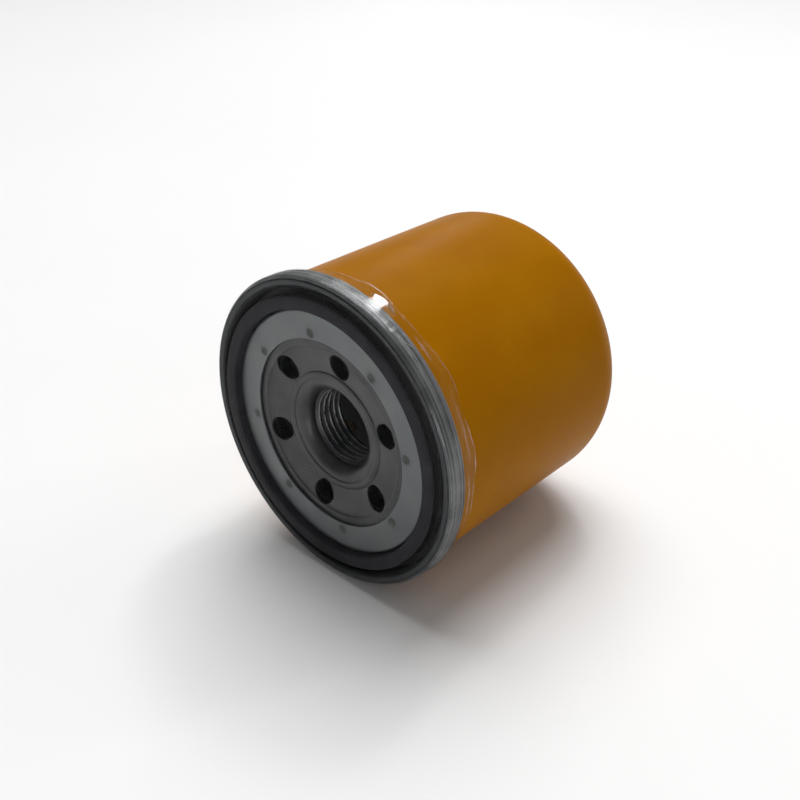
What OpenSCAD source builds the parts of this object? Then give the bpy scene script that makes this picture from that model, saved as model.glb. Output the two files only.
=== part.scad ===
// Spin-on engine oil filter, lying on its side.
// The thread axis is the Y axis. The origin is the centre of the gasket's sealing face,
// the open end faces -Y and the closed end of the can faces +Y. Sizes are millimetres.
// Every piece is drawn about Z, with Z as the depth behind the sealing face, and then turned.

/* [Can] */
// Outer radius of the can's wall
can_r = 36.15; // [34.5:0.05:44]
// Depth of the closed end behind the sealing face
can_len = 70; // [62:0.5:120]
// Sheet thickness of the can
can_t = 0.4; // [0.3:0.02:0.6]
// Outer radius of the corner round the closed end
dome_corner_r = 10; // [4:0.5:14]

/* [Seaming lid] */
// Sheet thickness of the lid
lid_t = 0.65; // [0.5:0.05:0.9]
// Depth of the lid's flat ring behind the sealing face
lid_depth = 1.75; // [1.2:0.05:2.4]
// Width of the flat ring, from the gasket channel to the hole
lid_land = 7.05; // [6:0.05:8]
// Depth of the rolled rim's crest behind the sealing face
rim_depth = 0.7; // [0.3:0.05:1.2]
// Height of the rolled rim along the axis
rim_h = 3.4; // [3:0.1:5]
// Inner bend radius in the floor of the gasket channel
channel_bend = 0.4; // [0.2:0.05:0.5]
// Outer bend radius at the edge of the flat ring
land_bend = 0.9; // [0.8:0.05:1.3]
// Number of spot welds that hold the base plate
weld_count = 8; // [4:1:12]
// Radius of one spot weld's dimple
weld_r = 1.05; // [0.6:0.05:1.4]
// Depth of one spot weld's dimple
weld_dent = 0.15; // [0.05:0.01:0.3]
// Distance from the hole's edge to the spot welds
weld_inset = 1.6; // [1.2:0.1:3]

/* [Gasket] */
// Radial width of the gasket
gasket_w = 3.25; // [2.6:0.05:4]
// Height of the gasket, from the channel's floor to the sealing face
gasket_h = 4.95; // [4:0.05:6.5]
// Radius of the gasket's edges
gasket_edge = 0.5; // [0.2:0.05:0.8]
// Free space between the gasket and the channel's outer wall
gasket_room = 1.55; // [0.6:0.05:2.5]

/* [Base plate] */
// Thickness of the base plate
plate_t = 3; // [2.4:0.1:4]
// Radius at the crest of the 3/4-16 UNF thread
thread_r = 8.75; // [7.2:0.05:10.6]
// Length of the threaded wall
thread_len = 8.6; // [6:0.1:12]
// Wall of the threaded neck behind the crest of the thread
neck_wall = 3.25; // [2.4:0.05:4]
// Depth of the rounded entry in front of the thread
entry_h = 3; // [2:0.1:4]
// Width of the ring between the thread and the raised bead
entry_w = 4.15; // [3:0.05:5]
// Width of the raised bead round the entry
bead_w = 1.8; // [1.2:0.1:2.4]
// Height of the raised bead
bead_h = 0.3; // [0.1:0.05:0.5]
// How far the dish sinks from its edge to the bead
dish_sink = 1.42; // [0.8:0.02:2]
// Width of the short step at the dish's edge
dish_step_w = 0.4; // [0.2:0.05:0.8]
// Drop of the short step at the dish's edge
dish_step_h = 0.3; // [0.1:0.05:0.5]
// Distance from the lid's hole to the dish's edge
dish_inset = 1.85; // [1:0.05:3]
// Number of inlet holes
inlet_count = 6; // [4:1:8]
// Radius of one inlet hole
inlet_r = 2.9; // [2:0.05:3.5]
// Clock angle of the first inlet hole
inlet_phase = 19.7; // [0:0.1:60]
// Clock angle of the first spot weld
weld_phase = 9.5; // [0:0.1:45]

/* [Anti-drain valve] */
// Thickness of the rubber skirt
valve_t = 1.1; // [0.8:0.05:1.5]
// Thickness of the collar round the neck
collar_t = 1.6; // [1.2:0.05:2]
// Height of the collar
collar_h = 3.9; // [3:0.1:5]
// Distance from the dish's edge to the valve's lip
lip_land = 3; // [2:0.1:4]

/* [Filter element] */
// Sheet thickness of the end caps
cap_t = 0.4; // [0.3:0.02:0.6]
// Height of the end caps' outer walls
cap_wall_h = 3.6; // [2.5:0.1:6]
// Gap between the element and the can's inside
element_gap = 4.85; // [3:0.05:8]
// Thickness of the adhesive in each end cap
glue_t = 1.25; // [0.8:0.05:2]
// Wall of the centre tube
tube_t = 0.6; // [0.4:0.05:0.9]
// Space between the neck and the inside of the centre tube
tube_room = 2.4; // [1.5:0.1:4]
// Radius of one hole in the centre tube
tube_hole_r = 2; // [1:0.1:2.6]
// Holes round the centre tube
tube_hole_cols = 8; // [6:1:10]
// Rows of holes along the centre tube
tube_hole_rows = 5; // [3:1:6]
// Number of pleats in the paper
pleats = 40; // [30:1:46]
// Thickness of the paper
paper_t = 0.55; // [0.4:0.05:0.6]
// Width of a pleat at its outer fold
pleat_tip_w = 1.6; // [1.4:0.05:2]
// Width of a pleat at its inner fold
pleat_root_w = 1.75; // [1.5:0.05:1.9]
// Sheet thickness of the clip that joins the paper's ends
clip_t = 0.4; // [0.3:0.05:0.6]
// Depth of the clip over its pleat
clip_grip = 5; // [3:0.1:7]

/* [Bypass valve] */
// Radius of the bypass port
port_r = 6; // [4.5:0.1:7.2]
// How far the seal laps over the port's edge
seal_lap = 1.9; // [1.2:0.1:2.4]
// Thickness of the seal
seal_t = 1.2; // [0.8:0.1:2]
// Thickness of the poppet's disc
poppet_t = 1.1; // [0.8:0.1:2]
// Radius of the poppet's stem
stem_r = 2.4; // [1.6:0.1:3]
// Travel of the poppet
poppet_travel = 3; // [2:0.1:4]
// Sheet thickness of the seat and the cage
cage_t = 0.4; // [0.3:0.05:0.6]
// Flow gap between the poppet and the cage
cage_gap = 0.9; // [0.6:0.1:1.4]
// Free length left in the bypass spring when the valve is fully open
bypass_spare = 1.35; // [0.9:0.05:3]
// Width of one window in the cage
window_w = 5; // [3:0.1:7]
// Number of windows in the cage
window_count = 4; // [3:1:6]
// Diameter of the bypass spring's wire
bypass_wire = 0.9; // [0.6:0.05:1.1]
// Mean radius of the bypass spring
bypass_coil_r = 4.6; // [3.9:0.1:5.6]
// Turns of the bypass spring
bypass_turns = 4.5; // [3:0.25:5]

/* [Element spring] */
// Space between the upper end cap and the can's closed end
spring_room = 9.2; // [8:0.1:14]
// Diameter of the element spring's wire
spring_wire = 2.2; // [1.6:0.1:2.6]
// Mean radius of the spring's wide end, on the end cap
spring_wide_r = 17; // [14:0.1:20]
// Mean radius of the spring's narrow end, on the can
spring_narrow_r = 11; // [8:0.1:13]
// Turns of the element spring
spring_turns = 2.5; // [2:0.25:3]

/* [Shrink film] */
// Thickness of the film
film_t = 0.12; // [0.08:0.01:0.2]
// Free space under the film
film_gap = 0.06; // [0.04:0.01:0.1]
// Length of the film's slope from the rim to the can
film_slope = 3.4; // [2:0.1:6]
// Length of the film's cuff on the can
film_cuff = 2.6; // [1:0.1:6]

/* [Clearances] */
// Gap between the folded sheets of the seam
seam_gap = 0.05; // [0.03:0.01:0.08]
// Gap between pieces that rest on each other
seat_gap = 0.03; // [0.02:0.01:0.05]
// Gap between the base plate and the channel's wall
plate_gap = 0.3; // [0.2:0.05:0.5]
// Gap between the neck and what goes round it
neck_gap = 0.1; // [0.05:0.01:0.2]
// Gap between the neck and the edge of the lower end cap's hole
cap_hole_gap = 0.4; // [0.2:0.05:0.8]
// Gap between the paper and what holds it
media_gap = 0.3; // [0.1:0.05:0.5]
// Gap on each side between the clip and its pleat
clip_room = 0.06; // [0.03:0.01:0.1]
// Gap between the bypass seat and the centre tube
seat_room = 0.5; // [0.2:0.05:0.8]
// Running clearance of the poppet's stem
stem_gap = 0.05; // [0.02:0.01:0.1]

/* [Hidden] */
round_fn = 96;
cut = 1;

// Seam: five layers of sheet, from the channel outwards
wall_r = can_r - can_t;
chuck_or = wall_r - seam_gap;
chuck_ir = chuck_or - lid_t;
hook_ir = can_r + seam_gap;
hook_or = hook_ir + lid_t;
body_hook_ir = hook_or + seam_gap;
body_hook_or = body_hook_ir + can_t;
rim_ir = body_hook_or + seam_gap;
rim_r = rim_ir + lid_t;
fold_r = (chuck_ir + rim_r) / 2;
crest_r = (rim_r - chuck_ir) / 2;
fold_depth = rim_depth + crest_r;
curl_r = (hook_or + rim_ir) / 2;
curl_in = (rim_ir - hook_or) / 2;
curl_out = curl_in + lid_t;
curl_depth = rim_depth + rim_h - curl_out;
hook_tip_r = lid_t / 2;
body_fold_in = (body_hook_ir - can_r) / 2;
body_fold_out = body_fold_in + can_t;
body_fold_r = (can_r + body_hook_ir) / 2;
compound_h = 0.4;
hook_tip_depth = fold_depth - body_fold_in + compound_h + 2 * seam_gap;

// Gasket and its channel
gasket_or = chuck_ir - gasket_room;
gasket_ir = gasket_or - gasket_w;
channel_ir = gasket_ir - seat_gap;
channel_floor = gasket_h + seat_gap;

// Lid's hole and base plate
lid_hole_r = channel_ir - lid_land;
weld_ring_r = lid_hole_r + weld_inset;
plate_front = lid_depth + lid_t + seat_gap;
plate_or = channel_ir - lid_t - plate_gap;
dish_r = lid_hole_r - dish_inset;
mouth_r = thread_r + entry_w;
crease_r = mouth_r + bead_w;
crease_depth = plate_front + dish_sink;
thread_start = crease_depth + entry_h;
neck_end = thread_start + thread_len;
neck_or = thread_r + neck_wall;
inlet_ring_r = (dish_r + crease_r) / 2;
bead_top = 0.3;
neck_chamfer = 0.5;
neck_fillet = 1.2;

// Anti-drain valve
valve_lip_r = dish_r + lip_land;
valve_ir = neck_or + neck_gap;
collar_or = valve_ir + collar_t;
collar_stand = 2.2;
collar_bevel = 0.3;
collar_start = crease_depth + plate_t + collar_stand;
collar_end = collar_start + collar_h;
plate_back = plate_front + plate_t;
lip_w = 0.8;
lip_rise = 1.1;
lip_gap = 2 * seat_gap;
skirt_root = 1.2 * valve_t;

// Element
cap_or = wall_r - element_gap;
lower_cap = collar_end + seat_gap;
upper_cap = can_len - can_t - spring_room;
cap_hole_r = neck_or + cap_hole_gap;
tube_ir = neck_or + tube_room;
tube_or = tube_ir + tube_t;
tube_start = lower_cap + cap_t + seat_gap;
tube_end = upper_cap - cap_t - seat_gap;
media_ir = tube_or + media_gap;
media_or = cap_or - cap_t - media_gap;
media_start = tube_start + glue_t + seat_gap;
media_end = tube_end - glue_t - seat_gap;
cap_bend = 0.8;
port_room = 1;

// Bypass valve, hanging inside the centre tube
seat_or = tube_ir - seat_room;
seat_top = upper_cap - cap_t - seat_gap;
seat_lip = 0.4;
stem_chamfer = 0.4;
stem_head = 0.95;
stem_tail = 0.8;
window_edge = 1;
cage_h = bypass_wire * bypass_turns + poppet_travel + bypass_spare;
seal_top = seat_top - cage_t - seat_lip - stem_gap;
poppet_r = port_r + seal_lap;
poppet_top = seal_top - seal_t - seat_gap;
poppet_under = poppet_top - poppet_t;
cage_ir = poppet_r + cage_gap;
cage_or = cage_ir + cage_t;
cage_top = seat_top - cage_t - seat_gap;
cage_floor = poppet_under - cage_h;
stem_end = cage_floor - cage_t - stem_tail;
window_low = cage_floor + window_edge;
window_high = poppet_under - window_edge;

// Module and function helpers

// Turns a piece drawn about Z so that Z becomes +Y and clock angles are seen from the open end
module on_axis() rotate([-90, 0, 0]) children();

// A ring or disc from its section, given as [radius, depth] points
module turned(section) rotate_extrude($fn = round_fn) polygon(section);

// Points on an arc from angle a to angle b
function arc(c, r, a, b, n = 6) = [for (i = [0:n]) let (t = a + (b - a) * i / n) c + r * [cos(t), sin(t)]];

// Points on a quarter ellipse from [c.x, c.y - h] to [c.x - w, c.y]
function entry_curve(c, w, h, n = 10) = [for (i = [0:n]) c + [-w * sin(90 * i / n), -h * cos(90 * i / n)]];

// Places children at a clock angle and radius on a bolt circle
module around(count, radius, phase = 0) {
    for (i = [0:count - 1]) rotate([0, 0, -phase - i * 360 / count]) translate([radius, 0, 0]) children();
}

// Sweeps a round wire along a helix whose radius runs from r0 to r1
module coil(r0, r1, z0, z1, wire, turns, steps = 20, sides = 8) {
    n = round(turns * steps);
    pitch_slope = atan2((z1 - z0) / turns, 2 * PI * (r0 + r1) / 2);
    function centre(i) = let (f = i / n, a = 360 * turns * f, r = r0 + (r1 - r0) * f)
        [r * cos(a), r * sin(a), z0 + (z1 - z0) * f];
    function ring(i) = let (a = 360 * turns * i / n)
        [for (k = [0:sides - 1]) let (b = 360 * k / sides, u = wire / 2 * cos(b), v = wire / 2 * sin(b))
            centre(i) + [cos(a) * u + sin(a) * sin(pitch_slope) * v,
                         sin(a) * u - cos(a) * sin(pitch_slope) * v,
                         cos(pitch_slope) * v]];
    points = [for (i = [0:n]) each ring(i)];
    skin = [for (i = [0:n - 1], k = [0:sides - 1]) let (a = i * sides, j = (k + 1) % sides)
        each [[a + k, a + j, a + sides + k], [a + j, a + sides + j, a + sides + k]]];
    start_cap = [[for (k = [sides - 1:-1:0]) k]];
    end_cap = [[for (k = [0:sides - 1]) n * sides + k]];
    polyhedron(points, concat(skin, start_cap, end_cap));
}

// Casing

module can() color([0.64, 0.42, 0.02]) on_axis() turned(concat(
    [[body_hook_ir, curl_depth], [body_hook_or, curl_depth]],
    arc([body_fold_r, fold_depth], body_fold_out, 0, -180),
    arc([can_r - dome_corner_r, can_len - dome_corner_r], dome_corner_r - can_t, 0, 90, 12),
    [[0, can_len - can_t], [0, can_len]],
    arc([can_r - dome_corner_r, can_len - dome_corner_r], dome_corner_r, 90, 0, 12),
    arc([body_fold_r, fold_depth], body_fold_in, 180, 360)));

lid_section = concat(
    [[lid_hole_r, lid_depth]],
    arc([channel_ir - land_bend, lid_depth + land_bend], land_bend, -90, 0),
    arc([channel_ir + channel_bend, channel_floor - channel_bend], channel_bend, 180, 90),
    arc([chuck_ir - channel_bend, channel_floor - channel_bend], channel_bend, 90, 0),
    arc([fold_r, fold_depth], crest_r, 180, 360, 12),
    arc([curl_r, curl_depth], curl_out, 0, 180, 12),
    arc([hook_ir + hook_tip_r, hook_tip_depth + hook_tip_r], hook_tip_r, 180, 360),
    arc([curl_r, curl_depth], curl_in, 180, 0),
    arc([fold_r, fold_depth], crest_r - lid_t, 360, 180, 12),
    arc([chuck_ir - channel_bend, channel_floor - channel_bend], channel_bend + lid_t, 0, 90),
    arc([channel_ir + channel_bend, channel_floor - channel_bend], channel_bend + lid_t, 90, 180),
    arc([channel_ir - land_bend, lid_depth + land_bend], land_bend - lid_t, 0, -90),
    [[lid_hole_r, lid_depth + lid_t]]);

module seaming_lid() color([0.62, 0.63, 0.65]) on_axis() difference() {
    turned(lid_section);
    around(weld_count, weld_ring_r, weld_phase)
        translate([0, 0, lid_depth - cut]) cylinder(r = weld_r, h = cut + weld_dent, $fn = 32);
}

// Ring of sealing compound above the lid's hook, inside the can's fold
module seam_compound() color([0.25, 0.3, 0.25]) on_axis() turned(concat(
    arc([body_fold_r, fold_depth], body_fold_in - seam_gap, 180, 360),
    arc([body_fold_r, hook_tip_depth + hook_tip_r], hook_tip_r + seam_gap, 330, 210)));

plate_front_curve = concat(
    [[plate_or, plate_front], [dish_r, plate_front],
     [dish_r - dish_step_w, plate_front + dish_step_h],
     [crease_r, crease_depth], [crease_r - bead_w * (1 - bead_top) / 2, crease_depth - bead_h],
     [mouth_r + bead_w * (1 - bead_top) / 2, crease_depth - bead_h]],
    entry_curve([mouth_r, thread_start], entry_w, entry_h));

module base_plate() color([0.5, 0.5, 0.52]) on_axis() difference() {
    turned(concat(plate_front_curve,
        [[thread_r, neck_end], [neck_or - neck_chamfer, neck_end], [neck_or, neck_end - neck_chamfer],
         [neck_or, crease_depth + plate_t + neck_fillet], [neck_or + neck_fillet, crease_depth + plate_t],
         [crease_r, crease_depth + plate_t],
         [dish_r - dish_step_w, plate_front + dish_step_h + plate_t],
         [dish_r, plate_back], [plate_or, plate_back]]));
    around(inlet_count, inlet_ring_r, inlet_phase) translate([0, 0, plate_front - cut])
        cylinder(r = inlet_r, h = dish_sink + plate_t + 3 * cut, $fn = 48);
}

module gasket() color([0.08, 0.08, 0.09]) on_axis() turned(concat(
    arc([gasket_or - gasket_edge, gasket_edge], gasket_edge, 0, -90),
    arc([gasket_ir + gasket_edge, gasket_edge], gasket_edge, -90, -180),
    arc([gasket_ir + gasket_edge, gasket_h - gasket_edge], gasket_edge, 180, 90),
    arc([gasket_or - gasket_edge, gasket_h - gasket_edge], gasket_edge, 90, 0)));

module anti_drain_valve() color([0.12, 0.12, 0.12]) on_axis() turned([
    [valve_ir, collar_start], [collar_or - collar_bevel, collar_start],
    [valve_lip_r - lip_w, plate_back + lip_rise],
    [valve_lip_r - lip_w / 2, plate_back + lip_gap], [valve_lip_r, plate_back + lip_gap],
    [valve_lip_r + lip_w / 2, plate_back + lip_rise],
    [valve_lip_r - lip_w / 2, plate_back + lip_rise + valve_t],
    [collar_or, collar_start + skirt_root], [collar_or, collar_end], [valve_ir, collar_end]]);

// Filter element

// End cap seen as a tray: hole radius, depth of its outside face, and which way its wall stands
module end_cap(hole_r, face, way) translate([0, 0, face]) mirror([0, 0, way < 0 ? 1 : 0]) turned(concat(
    [[hole_r, 0]],
    arc([cap_or - cap_bend, cap_bend], cap_bend, -90, 0),
    [[cap_or, cap_wall_h], [cap_or - cap_t, cap_wall_h]],
    arc([cap_or - cap_bend, cap_bend], cap_bend - cap_t, 0, -90),
    [[hole_r, cap_t]]));

module adhesive(z0, z1) on_axis() turned([
    [tube_or + seat_gap, z0], [media_or - cap_bend, z0], [media_or, z0 + sign(z1 - z0) * cap_bend],
    [media_or, z1], [tube_or + seat_gap, z1]]);

module lower_end_cap() color([0.7, 0.7, 0.72]) on_axis() end_cap(cap_hole_r, lower_cap, 1);
module upper_end_cap() color([0.7, 0.7, 0.72]) on_axis() end_cap(port_r + port_room, upper_cap, -1);
module lower_adhesive() color([0.75, 0.72, 0.6]) adhesive(tube_start, media_start - seat_gap);
module upper_adhesive() color([0.75, 0.72, 0.6]) adhesive(tube_end, media_end + seat_gap);

// Closed outline of a folded sheet: its outer or its inner surface
function pleat_outline(tip_r, tip_half, root_r, root_half) = [
    for (i = [0:pleats - 1]) let (a = -360 * i / pleats) each [
        for (p = [[root_r, -root_half], [tip_r, -tip_half], [tip_r, tip_half], [root_r, root_half]])
            [p.x * cos(a) + p.y * sin(a), p.x * sin(a) - p.y * cos(a)]]];

module pleated_media() color([0.85, 0.78, 0.6]) on_axis()
    translate([0, 0, media_start]) linear_extrude(media_end - media_start) difference() {
        polygon(pleat_outline(media_or, pleat_tip_w / 2, media_ir + paper_t, pleat_root_w / 2));
        polygon(pleat_outline(media_or - paper_t, pleat_tip_w / 2 - paper_t,
                              media_ir, pleat_root_w / 2 - paper_t));
    }

// Folded strip over the first pleat, between the end caps' walls
module media_clip() color([0.75, 0.75, 0.77]) on_axis() {
    slot = pleat_root_w + 2 * clip_room;
    clip_or = media_or + seat_gap + clip_t;
    clip_start = lower_cap + cap_wall_h + neck_gap;
    clip_end = upper_cap - cap_wall_h - neck_gap;
    translate([0, 0, clip_start]) linear_extrude(clip_end - clip_start) difference() {
        translate([media_or - clip_grip, -slot / 2 - clip_t])
            square([clip_or - media_or + clip_grip, slot + 2 * clip_t]);
        translate([media_or - clip_grip - cut, -slot / 2]) square([clip_grip + cut + seat_gap, slot]);
    }
}

module centre_tube() color([0.68, 0.68, 0.7]) on_axis() difference() {
    turned([[tube_ir, tube_start], [tube_or, tube_start], [tube_or, tube_end], [tube_ir, tube_end]]);
    row_pitch = (media_end - media_start) / tube_hole_rows;
    for (row = [0:tube_hole_rows - 1]) translate([0, 0, media_start + (row + 0.5) * row_pitch])
        around(tube_hole_cols, 0, row % 2 * 180 / tube_hole_cols)
            rotate([0, 90, 0]) cylinder(r = tube_hole_r, h = tube_or + cut, $fn = 32);
}

// Bypass valve

module bypass_seat() color([0.72, 0.72, 0.74]) on_axis() turned([
    [port_r, seat_top], [seat_or, seat_top], [seat_or, seat_top - cage_t],
    [port_r + cage_t, seat_top - cage_t], [port_r + cage_t, seat_top - cage_t - seat_lip],
    [port_r, seat_top - cage_t - seat_lip]]);

module bypass_cage() color([0.66, 0.66, 0.68]) on_axis() difference() {
    turned([[cage_ir, cage_top], [seat_or, cage_top], [seat_or, cage_top - cage_t],
            [cage_or, cage_top - cage_t], [cage_or, cage_floor - cage_t],
            [stem_r + stem_gap, cage_floor - cage_t], [stem_r + stem_gap, cage_floor],
            [cage_ir, cage_floor]]);
    around(window_count, 0) translate([0, -window_w / 2, window_low])
        cube([cage_or + cut, window_w, window_high - window_low]);
}

module bypass_poppet() color([0.3, 0.3, 0.32]) on_axis() turned([
    [0, stem_end], [stem_r - stem_chamfer, stem_end], [stem_r, stem_end + stem_chamfer],
    [stem_r, poppet_under],
    [poppet_r, poppet_under], [poppet_r, poppet_top], [stem_r, poppet_top],
    [stem_r, poppet_top + stem_head], [0, poppet_top + stem_head]]);

module bypass_seal() color([0.1, 0.1, 0.1]) on_axis() turned([
    [stem_r + seat_gap, poppet_top + seat_gap], [poppet_r, poppet_top + seat_gap],
    [poppet_r, seal_top], [stem_r + seat_gap, seal_top]]);

module bypass_spring() color([0.55, 0.55, 0.57]) on_axis()
    coil(bypass_coil_r, bypass_coil_r,
         cage_floor + bypass_wire / 2 + seat_gap, poppet_under - bypass_wire / 2 - seat_gap,
         bypass_wire, bypass_turns, steps = 18, sides = 6);

module element_spring() color([0.5, 0.5, 0.52]) on_axis()
    coil(spring_wide_r, spring_narrow_r,
         upper_cap + spring_wire / 2 + seat_gap, can_len - can_t - spring_wire / 2 - seat_gap,
         spring_wire, spring_turns, steps = 24);

// Shrink film over the open end

function film_skin(off) = concat(
    [[0, -off], [gasket_or - gasket_edge, -off]],
    arc([fold_r, fold_depth], crest_r + off, -100, 0),
    arc([rim_r - curl_out, curl_depth], curl_out + off, 0, 30, 3),
    [[can_r + off, curl_depth + curl_out + film_slope],
     [can_r + off, curl_depth + curl_out + film_slope + film_cuff]]);

function backwards(list) = [for (i = [len(list) - 1:-1:0]) list[i]];

module shrink_film() color([0.9, 0.92, 0.95, 0.3]) on_axis()
    turned(concat(film_skin(film_gap), backwards(film_skin(film_gap + film_t))));

can();
seaming_lid();
base_plate();
gasket();
seam_compound();
anti_drain_valve();
lower_end_cap();
lower_adhesive();
pleated_media();
media_clip();
centre_tube();
upper_adhesive();
upper_end_cap();
bypass_seat();
bypass_cage();
bypass_poppet();
bypass_seal();
bypass_spring();
element_spring();
shrink_film();
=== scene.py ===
"""Looks of a spin-on engine oil filter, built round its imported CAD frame.

The thread axis is Y, the open end faces -Y and +Z is up. Sections are lists of
(radius, depth) in millimetres, with the depth measured behind the gasket's sealing face.
Every mesh is in metres. Clock angles run from +X towards +Z, seen from the open end.
"""

import logging
import math
from dataclasses import dataclass, field, replace
from enum import Enum

import bmesh
import bpy
from mathutils import Matrix, Vector, noise
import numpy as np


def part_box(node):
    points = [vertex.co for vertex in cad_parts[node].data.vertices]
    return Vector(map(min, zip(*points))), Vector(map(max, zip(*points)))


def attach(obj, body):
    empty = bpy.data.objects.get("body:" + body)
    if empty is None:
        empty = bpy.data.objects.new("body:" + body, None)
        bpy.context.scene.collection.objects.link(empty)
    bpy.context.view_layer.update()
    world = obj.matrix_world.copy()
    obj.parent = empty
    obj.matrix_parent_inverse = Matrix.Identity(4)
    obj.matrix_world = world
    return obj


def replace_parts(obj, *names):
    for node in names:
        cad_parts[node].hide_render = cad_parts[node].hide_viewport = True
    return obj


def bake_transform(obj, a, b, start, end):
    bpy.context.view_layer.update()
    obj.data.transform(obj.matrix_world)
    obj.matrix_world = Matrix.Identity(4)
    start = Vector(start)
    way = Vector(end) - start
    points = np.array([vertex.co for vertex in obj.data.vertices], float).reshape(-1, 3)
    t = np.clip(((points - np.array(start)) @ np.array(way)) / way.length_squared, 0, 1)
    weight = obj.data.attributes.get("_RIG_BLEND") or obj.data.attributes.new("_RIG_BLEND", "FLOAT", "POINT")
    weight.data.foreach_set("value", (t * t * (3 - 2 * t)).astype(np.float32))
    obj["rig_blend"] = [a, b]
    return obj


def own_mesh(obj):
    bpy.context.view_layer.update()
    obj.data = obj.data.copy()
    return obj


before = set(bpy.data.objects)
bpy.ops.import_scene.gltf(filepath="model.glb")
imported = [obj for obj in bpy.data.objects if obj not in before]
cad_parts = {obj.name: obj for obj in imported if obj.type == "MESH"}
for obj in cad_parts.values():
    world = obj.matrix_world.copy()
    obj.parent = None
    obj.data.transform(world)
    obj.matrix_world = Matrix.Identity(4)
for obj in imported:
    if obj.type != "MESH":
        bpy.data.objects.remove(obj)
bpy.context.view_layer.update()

Point = tuple[float, float]
Section = list[Point]
Colour = tuple[float, float, float, float]

MM = 0.001
WELD = 1e-6
CAN_R = 36.15
CENTRE = (0.0, 0.0, 0.0)
AXIS = (0.0, 1.0, 0.0)
log = logging.getLogger("oil_filter")


class Body(Enum):
    """The CAD bodies that pieces ride on."""

    HOUSING = "housing"
    DRAIN_LIP = "anti_drain_lip"
    FILM = "film"


class Grain(Enum):
    """Which way the fine lines of a metal run."""

    ROLLED = "rolled"
    TURNED = "turned"
    DRAWN = "drawn"


# Sections


def arc(centre: Point, radius: float, start: float, end: float, steps: int = 8) -> Section:
    """Points on an arc.

    Args:
        centre: Middle of the arc.
        radius: Its radius.
        start: Angle of the first point in degrees, from the radius axis to the depth axis.
        end: Angle of the last point in degrees.
        steps: Number of stretches between the points.

    Returns:
        The points, both ends included.
    """
    turns = [math.radians(start + (end - start) * i / steps) for i in range(steps + 1)]
    return [(centre[0] + radius * math.cos(a), centre[1] + radius * math.sin(a)) for a in turns]


def line(start: Point, end: Point, steps: int) -> Section:
    """Evenly spaced points on a straight stretch.

    Args:
        start: First point.
        end: Last point.
        steps: Number of stretches between the points.

    Returns:
        The points, both ends included.
    """
    shares = [i / steps for i in range(steps + 1)]
    return [(start[0] + (end[0] - start[0]) * f, start[1] + (end[1] - start[1]) * f) for f in shares]


def rounded(corners: list[tuple[float, float, float]], steps: int = 5) -> Section:
    """A closed outline whose corners are rounded.

    Args:
        corners: Each corner's radius, depth and rounding.
        steps: Number of stretches in each rounding.

    Returns:
        The outline's points, as one closed loop.
    """
    outline: Section = []
    for i, (r, y, rounding) in enumerate(corners):
        here = Vector((r, y))
        if rounding <= 0:
            outline.append((r, y))
            continue
        back = (Vector(corners[i - 1][:2]) - here).normalized()
        ahead = (Vector(corners[(i + 1) % len(corners)][:2]) - here).normalized()
        half = back.angle(ahead) / 2
        centre = here + (back + ahead).normalized() * (rounding / math.sin(half))
        first = here + back * (rounding / math.tan(half)) - centre
        last = here + ahead * (rounding / math.tan(half)) - centre
        for k in range(steps + 1):
            spoke = first.lerp(last, k / steps).normalized() * rounding
            outline.append((centre.x + spoke.x, centre.y + spoke.y))
    return outline


def length(points: Section) -> float:
    """Length of a section, along its points."""
    return sum(math.dist(a, b) for a, b in zip(points, points[1:]))


def smoothstep(low: float, high: float, value: float) -> float:
    """A share from 0 at low to 1 at high, eased at both ends."""
    share = min(max((value - low) / (high - low), 0.0), 1.0)
    return share * share * (3 - 2 * share)


# Meshes


def ring_of(node: str) -> tuple[float, float, float]:
    """A CAD node's outer radius and its front and back depths, in millimetres."""
    low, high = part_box(node)
    return (high.x - low.x) / 2 / MM, low.y / MM, high.y / MM


def piece(name: str, bm: bmesh.types.BMesh, crease: float = 38.0) -> bpy.types.Object:
    """Makes an object of a bmesh and shades it.

    Args:
        name: Name of the piece.
        bm: Its mesh, which is freed.
        crease: Angle in degrees above which an edge stays sharp.

    Returns:
        The object, at the origin.
    """
    mesh = bpy.data.meshes.new(name)
    bm.to_mesh(mesh)
    bm.free()
    mesh.shade_smooth()
    mesh.set_sharp_from_angle(angle=math.radians(crease))
    made = bpy.data.objects.new(name, mesh)
    bpy.context.scene.collection.objects.link(made)
    log.info("%s: %d faces", name, len(mesh.polygons))
    return made


def spun(section: Section, steps: int, closed: bool = True) -> bmesh.types.BMesh:
    """Spins a section round the thread axis.

    Args:
        section: The points, which end on the axis where the section isn't closed and solid.
        steps: Number of stretches round the axis.
        closed: Whether the last point joins the first.

    Returns:
        The mesh, with a float layer "run" that holds the distance along the section in mm.
    """
    bm = bmesh.new()
    run = bm.verts.layers.float.new("run")
    verts = [bm.verts.new((r * MM, y * MM, 0)) for r, y in section]
    for before, after in zip(verts, verts[1:]):
        after[run] = before[run] + (after.co - before.co).length / MM
    ends = verts[1:] + verts[:1] if closed else verts[1:]
    edges = [bm.edges.new(pair) for pair in zip(verts, ends)]
    whole = {"angle": math.tau, "steps": steps, "use_merge": True}
    bmesh.ops.spin(bm, geom=verts + edges, cent=CENTRE, axis=AXIS, **whole)
    bmesh.ops.remove_doubles(bm, verts=bm.verts[:], dist=WELD)
    bmesh.ops.recalc_face_normals(bm, faces=bm.faces[:])
    bm.normal_update()
    return bm


def polar(co: Vector) -> tuple[float, float, float]:
    """A point's radius and depth in millimetres and its clock angle in degrees."""
    return math.hypot(co.x, co.z) / MM, co.y / MM, math.degrees(math.atan2(co.z, co.x)) % 360


def clock(radius: float, depth: float, angle: float) -> Vector:
    """The point in metres at a radius and depth in millimetres and a clock angle in degrees."""
    a = math.radians(angle)
    return Vector((radius * math.cos(a), depth, radius * math.sin(a))) * MM


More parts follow.
